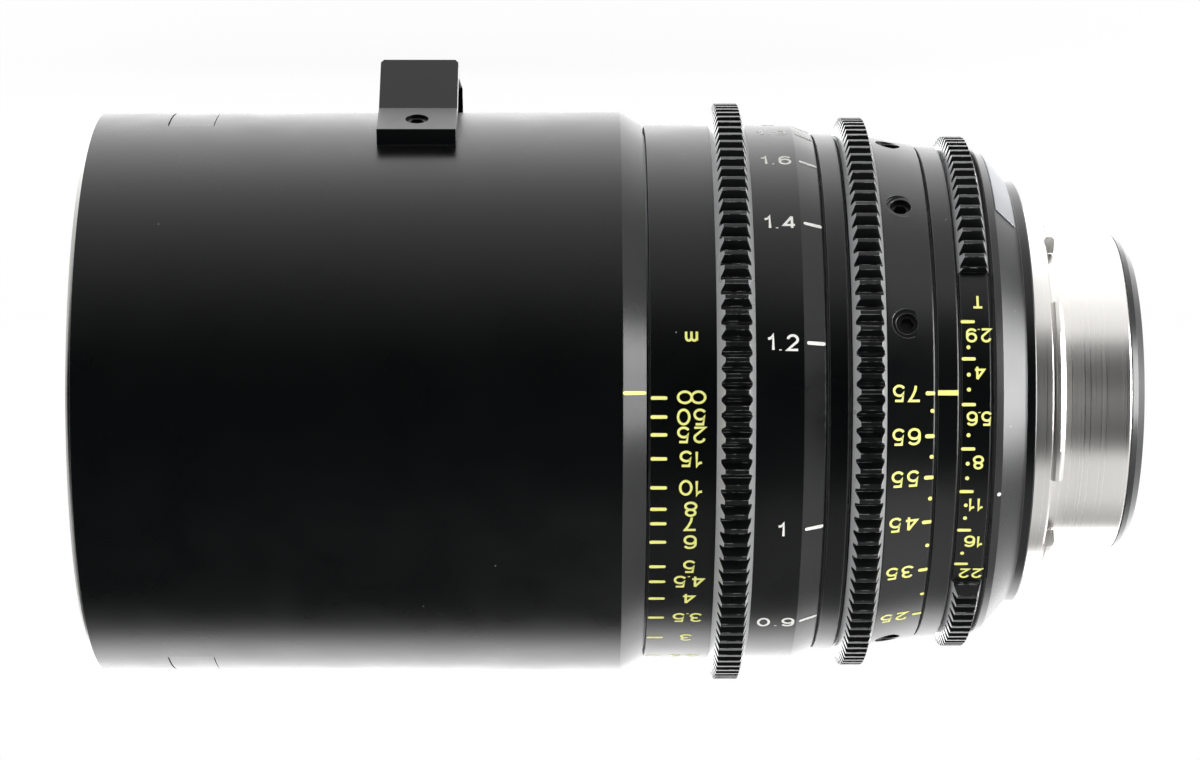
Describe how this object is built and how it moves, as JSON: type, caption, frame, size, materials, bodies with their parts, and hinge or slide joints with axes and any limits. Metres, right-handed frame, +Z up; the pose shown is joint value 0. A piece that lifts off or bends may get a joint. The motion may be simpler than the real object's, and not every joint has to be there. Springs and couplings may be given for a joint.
{
  "type": "cinema zoom lens",
  "caption": "Cinema zoom lens with geared focus, zoom and iris rings, a bayonet mount with flange tabs, a filter thread and a support foot.",
  "frame": {"origin": "centre of the mount's seat, where the rear faces of the bayonet tabs meet the optical axis", "axes": "+X along the optical axis towards the front of the lens, +Z up, the support foot at -Z"},
  "size_m": [0.1743, 0.0984, 0.1049],
  "materials": {
    "black_anodised": "satin black anodised, fine grain",
    "gear_black": "milled teeth, black anodised, glossier than the barrel",
    "turned_silver": "turned, fine circular lines",
    "bare_rim": "bare machined edge",
    "optical_glass": "polished and coated",
    "inner_black": "matt black anodised",
    "inner_grey": "machined, grey anodised",
    "brass": "turned",
    "plate_grey": "bare satin plate",
    "screw_black": "black oxide",
    "screw_steel": "bright steel",
    "blade_black": "thin blackened steel leaf"
  },
  "bodies": {
    "barrel": {"filter_ring": "bare_rim", "front_barrel": "black_anodised", "bottom_badge": "black_anodised", "top_badge": "black_anodised", "support_foot": "black_anodised", "foot_screws": "screw_black", "barrel_adapter": "inner_black", "front_retaining_ring": "inner_black", "front_cell": "inner_black", "front_element": "optical_glass", "second_element": "optical_glass", "front_spacer": "inner_black", "main_tube": "black_anodised", "guide_tube": "inner_grey", "index_ring": "black_anodised", "rear_housing": "black_anodised", "serial_plate": "plate_grey", "flange_shim": "brass", "lens_mount": "turned_silver", "mount_screws": "screw_steel", "rear_ring": "black_anodised", "rear_cell": "inner_black", "rear_element": "optical_glass", "last_element": "optical_glass", "rear_retaining_ring": "inner_black", "iris_base": "inner_black"},
    "focus": {"focus_ring": "black_anodised", "focus_gear": "gear_black", "focus_cam_sleeve": "inner_grey"},
    "focus_group": {"focus_cell": "inner_black", "focus_rear_element": "optical_glass", "focus_front_element": "optical_glass", "focus_retaining_ring": "inner_black", "focus_rollers": "brass"},
    "zoom": {"zoom_ring": "black_anodised", "zoom_gear": "gear_black", "lever_plugs": "screw_black", "zoom_key": "brass", "zoom_cam_barrel": "inner_grey"},
    "variator": {"variator_cell": "inner_black", "variator_element": "optical_glass", "variator_ring": "inner_black", "variator_rollers": "brass"},
    "compensator": {"compensator_cell": "inner_black", "compensator_element": "optical_glass", "compensator_ring": "inner_black", "compensator_rollers": "brass"},
    "iris": {"iris_ring": "black_anodised", "iris_gear": "gear_black", "iris_link": "brass", "iris_drive_ring": "inner_grey"},
    "blade_1": {"iris_blade_1": "blade_black"},
    "blade_2": {"iris_blade_2": "blade_black"},
    "blade_3": {"iris_blade_3": "blade_black"},
    "blade_4": {"iris_blade_4": "blade_black"},
    "blade_5": {"iris_blade_5": "blade_black"},
    "blade_6": {"iris_blade_6": "blade_black"},
    "blade_7": {"iris_blade_7": "blade_black"},
    "blade_8": {"iris_blade_8": "blade_black"},
    "blade_9": {"iris_blade_9": "blade_black"}
  },
  "joints": [
    {"name": "focus_turn", "type": "hinge", "parent": "barrel", "child": "focus", "pos_m": [0.055, 0, 0], "axis": [1, 0, 0], "range_deg": [0, 270]},
    {"name": "focus_group_slide", "type": "slide", "parent": "barrel", "child": "focus_group", "axis": [1, 0, 0], "range_m": [0, 0.012]},
    {"name": "zoom_turn", "type": "hinge", "parent": "barrel", "child": "zoom", "pos_m": [0.03, 0, 0], "axis": [1, 0, 0], "range_deg": [0, 60]},
    {"name": "variator_slide", "type": "slide", "parent": "barrel", "child": "variator", "axis": [1, 0, 0], "range_m": [0, 0.014]},
    {"name": "compensator_slide", "type": "slide", "parent": "barrel", "child": "compensator", "axis": [-1, 0, 0], "range_m": [0, 0.008]},
    {"name": "iris_turn", "type": "hinge", "parent": "barrel", "child": "iris", "pos_m": [0.016, 0, 0], "axis": [1, 0, 0], "range_deg": [-15.7, 42.3]},
    {"name": "blade_1_swing", "type": "hinge", "parent": "barrel", "child": "blade_1", "pos_m": [0.0144, -0.028, 0], "axis": [1, 0, 0], "range_deg": [-8.18, 22.03]},
    {"name": "blade_2_swing", "type": "hinge", "parent": "barrel", "child": "blade_2", "pos_m": [0.0144, -0.02145, -0.018], "axis": [1, 0, 0], "range_deg": [-8.18, 22.03]},
    {"name": "blade_3_swing", "type": "hinge", "parent": "barrel", "child": "blade_3", "pos_m": [0.0144, -0.00486, -0.02757], "axis": [1, 0, 0], "range_deg": [-8.18, 22.03]},
    {"name": "blade_4_swing", "type": "hinge", "parent": "barrel", "child": "blade_4", "pos_m": [0.0144, 0.014, -0.02425], "axis": [1, 0, 0], "range_deg": [-8.18, 22.03]},
    {"name": "blade_5_swing", "type": "hinge", "parent": "barrel", "child": "blade_5", "pos_m": [0.0144, 0.02631, -0.00958], "axis": [1, 0, 0], "range_deg": [-8.18, 22.03]},
    {"name": "blade_6_swing", "type": "hinge", "parent": "barrel", "child": "blade_6", "pos_m": [0.0144, 0.02631, 0.00958], "axis": [1, 0, 0], "range_deg": [-8.18, 22.03]},
    {"name": "blade_7_swing", "type": "hinge", "parent": "barrel", "child": "blade_7", "pos_m": [0.0144, 0.014, 0.02425], "axis": [1, 0, 0], "range_deg": [-8.18, 22.03]},
    {"name": "blade_8_swing", "type": "hinge", "parent": "barrel", "child": "blade_8", "pos_m": [0.0144, -0.00486, 0.02757], "axis": [1, 0, 0], "range_deg": [-8.18, 22.03]},
    {"name": "blade_9_swing", "type": "hinge", "parent": "barrel", "child": "blade_9", "pos_m": [0.0144, -0.02145, 0.018], "axis": [1, 0, 0], "range_deg": [-8.18, 22.03]}
  ],
  "couplings": [
    {"joint": "focus_group_slide", "follows": "focus_turn", "m_per_rad": 0.0025465},
    {"joint": "variator_slide", "follows": "zoom_turn", "m_per_rad": 0.013369},
    {"joint": "compensator_slide", "follows": "zoom_turn", "m_per_rad": 0.0076394},
    {"joint": "blade_1_swing", "follows": "iris_turn", "ratio": 0.52069},
    {"joint": "blade_2_swing", "follows": "iris_turn", "ratio": 0.52069},
    {"joint": "blade_3_swing", "follows": "iris_turn", "ratio": 0.52069},
    {"joint": "blade_4_swing", "follows": "iris_turn", "ratio": 0.52069},
    {"joint": "blade_5_swing", "follows": "iris_turn", "ratio": 0.52069},
    {"joint": "blade_6_swing", "follows": "iris_turn", "ratio": 0.52069},
    {"joint": "blade_7_swing", "follows": "iris_turn", "ratio": 0.52069},
    {"joint": "blade_8_swing", "follows": "iris_turn", "ratio": 0.52069},
    {"joint": "blade_9_swing", "follows": "iris_turn", "ratio": 0.52069}
  ]
}
